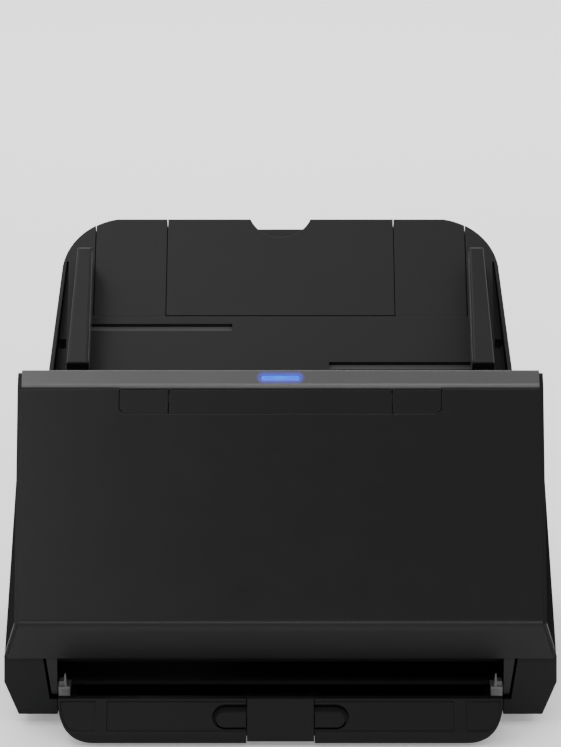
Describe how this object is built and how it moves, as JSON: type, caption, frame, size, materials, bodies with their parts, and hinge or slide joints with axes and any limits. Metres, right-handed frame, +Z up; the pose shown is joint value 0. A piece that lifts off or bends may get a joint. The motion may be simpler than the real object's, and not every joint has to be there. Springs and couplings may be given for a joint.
{
  "type": "document scanner",
  "caption": "Sheet-feeding document scanner with a reclined front unit that opens forward, a feed tray with coupled paper guides, and a pull-out output tray.",
  "frame": {"origin": "on the table, under the middle of the machine's outline", "axes": "+X to the right seen from the front, +Y to the back, +Z up"},
  "size_m": [0.291, 0.253, 0.231],
  "materials": {
    "charcoal_shell": "satin, fine texture",
    "charcoal_front": "satin",
    "black_plastic": "matt",
    "grey_plastic": "satin",
    "rubber": "matt",
    "steel": "brushed",
    "glass": "clear",
    "lamp": "frosted, lit blue",
    "board": "satin",
    "motor_metal": "satin"
  },
  "bodies": {
    "chassis": {"base_pan": "black_plastic", "rubber_feet": "rubber", "right_side_cover": "charcoal_shell", "left_side_cover": "charcoal_shell", "rear_cover": "charcoal_shell", "power_jack": "black_plastic", "usb_port": "black_plastic", "main_board": "board", "right_frame_plate": "steel", "left_frame_plate": "steel", "rear_guide": "black_plastic", "rear_image_sensor": "black_plastic", "rear_sensor_glass": "glass", "feed_tray": "charcoal_shell", "drive_motor": "motor_metal", "timing_belt": "rubber", "right_hinge_bracket": "grey_plastic", "left_hinge_bracket": "grey_plastic"},
    "motor_rotor": {"motor_pulley": "grey_plastic"},
    "feed_roller": {"feed_shaft": "steel", "feed_tyres": "rubber"},
    "drive_roller": {"drive_shaft": "steel", "drive_tyres": "rubber"},
    "eject_roller": {"eject_shaft": "steel", "eject_tyres": "rubber"},
    "front_unit": {"front_cover": "charcoal_front", "top_bezel": "charcoal_front", "lamp_lens": "lamp", "key_frame": "grey_plastic", "front_guide": "black_plastic", "front_image_sensor": "black_plastic", "front_sensor_glass": "glass"},
    "retard_roller": {"retard_shaft": "steel", "retard_tyres": "rubber"},
    "drive_pinch": {"drive_pinch_shaft": "steel", "drive_pinch_tyres": "rubber"},
    "eject_pinch": {"eject_pinch_shaft": "steel", "eject_pinch_tyres": "rubber"},
    "opening_lever": {"opening_lever": "charcoal_front"},
    "left_key": {"left_key": "charcoal_front"},
    "right_key": {"right_key": "charcoal_front"},
    "left_guide": {"left_document_guide": "charcoal_shell", "left_guide_rack": "grey_plastic"},
    "right_guide": {"right_document_guide": "charcoal_shell", "right_guide_rack": "grey_plastic"},
    "guide_gear": {"guide_pinion": "grey_plastic"},
    "tray_stage_1": {"tray_extension": "charcoal_shell"},
    "tray_stage_2": {"tray_tip": "charcoal_shell"},
    "output_stage_1": {"output_drawer": "black_plastic"},
    "output_stage_2": {"output_slide": "black_plastic"},
    "stop": {"paper_stop": "black_plastic"}
  },
  "joints": [
    {"name": "front_unit_open", "type": "hinge", "parent": "chassis", "child": "front_unit", "pos_m": [0, -0.09, 0.0205], "axis": [1, 0, 0], "range_deg": [0, 50]},
    {"name": "feed_roller_spin", "type": "hinge", "parent": "chassis", "child": "feed_roller", "pos_m": [0, 0.00013, 0.10821], "axis": [1, 0, 0], "continuous": true},
    {"name": "drive_roller_spin", "type": "hinge", "parent": "chassis", "child": "drive_roller", "pos_m": [0, -0.02249, 0.09266], "axis": [1, 0, 0], "continuous": true},
    {"name": "eject_roller_spin", "type": "hinge", "parent": "chassis", "child": "eject_roller", "pos_m": [0, -0.06492, 0.05023], "axis": [1, 0, 0], "continuous": true},
    {"name": "motor_spin", "type": "hinge", "parent": "chassis", "child": "motor_rotor", "pos_m": [0, -0.00651, 0.04981], "axis": [1, 0, 0], "continuous": true},
    {"name": "retard_roller_spin", "type": "hinge", "parent": "front_unit", "child": "retard_roller", "pos_m": [0, -0.01571, 0.12405], "axis": [1, 0, 0], "continuous": true},
    {"name": "drive_pinch_spin", "type": "hinge", "parent": "front_unit", "child": "drive_pinch", "pos_m": [0, -0.03126, 0.10143], "axis": [1, 0, 0], "continuous": true},
    {"name": "eject_pinch_spin", "type": "hinge", "parent": "front_unit", "child": "eject_pinch", "pos_m": [0, -0.07369, 0.059], "axis": [1, 0, 0], "continuous": true},
    {"name": "opening_lever_rock", "type": "hinge", "parent": "front_unit", "child": "opening_lever", "pos_m": [0, -0.00793, 0.14654], "axis": [-1, 0, 0], "range_deg": [0, 5], "stiffness_Nm_per_rad": 0.4},
    {"name": "left_key_press", "type": "slide", "parent": "front_unit", "child": "left_key", "axis": [0, 0.7071, -0.7071], "range_m": [0, 0.0012], "stiffness_N_per_m": 900},
    {"name": "right_key_press", "type": "slide", "parent": "front_unit", "child": "right_key", "axis": [0, 0.7071, -0.7071], "range_m": [0, 0.0012], "stiffness_N_per_m": 900},
    {"name": "right_guide_slide", "type": "slide", "parent": "chassis", "child": "right_guide", "axis": [1, 0, 0], "range_m": [-0.078, 0.002]},
    {"name": "left_guide_slide", "type": "slide", "parent": "chassis", "child": "left_guide", "axis": [1, 0, 0], "range_m": [-0.002, 0.078]},
    {"name": "guide_gear_turn", "type": "hinge", "parent": "chassis", "child": "guide_gear", "pos_m": [0, 0.05069, 0.16796], "axis": [0, -0.7071, 0.7071], "range_deg": [-498, 14]},
    {"name": "tray_stage_1_slide", "type": "slide", "parent": "chassis", "child": "tray_stage_1", "axis": [0, 0.7071, 0.7071], "range_m": [0, 0.08]},
    {"name": "tray_stage_2_slide", "type": "slide", "parent": "tray_stage_1", "child": "tray_stage_2", "axis": [0, 0.7071, 0.7071], "range_m": [0, 0.08]},
    {"name": "output_drawer_slide", "type": "slide", "parent": "chassis", "child": "output_stage_1", "axis": [0, -1, 0], "range_m": [0, 0.135]},
    {"name": "output_slide_slide", "type": "slide", "parent": "output_stage_1", "child": "output_stage_2", "axis": [0, -1, 0], "range_m": [0, 0.095]},
    {"name": "paper_stop_flip", "type": "hinge", "parent": "output_stage_2", "child": "stop", "pos_m": [0, -0.1226, 0.0056], "axis": [1, 0, 0], "range_deg": [0, 45]}
  ],
  "couplings": [
    {"joint": "drive_roller_spin", "follows": "feed_roller_spin", "ratio": 1.7143},
    {"joint": "eject_roller_spin", "follows": "feed_roller_spin", "ratio": 1.7143},
    {"joint": "motor_spin", "follows": "feed_roller_spin", "ratio": 2},
    {"joint": "left_guide_slide", "follows": "right_guide_slide", "ratio": -1},
    {"joint": "guide_gear_turn", "follows": "right_guide_slide", "rad_per_m": 111.11}
  ]
}
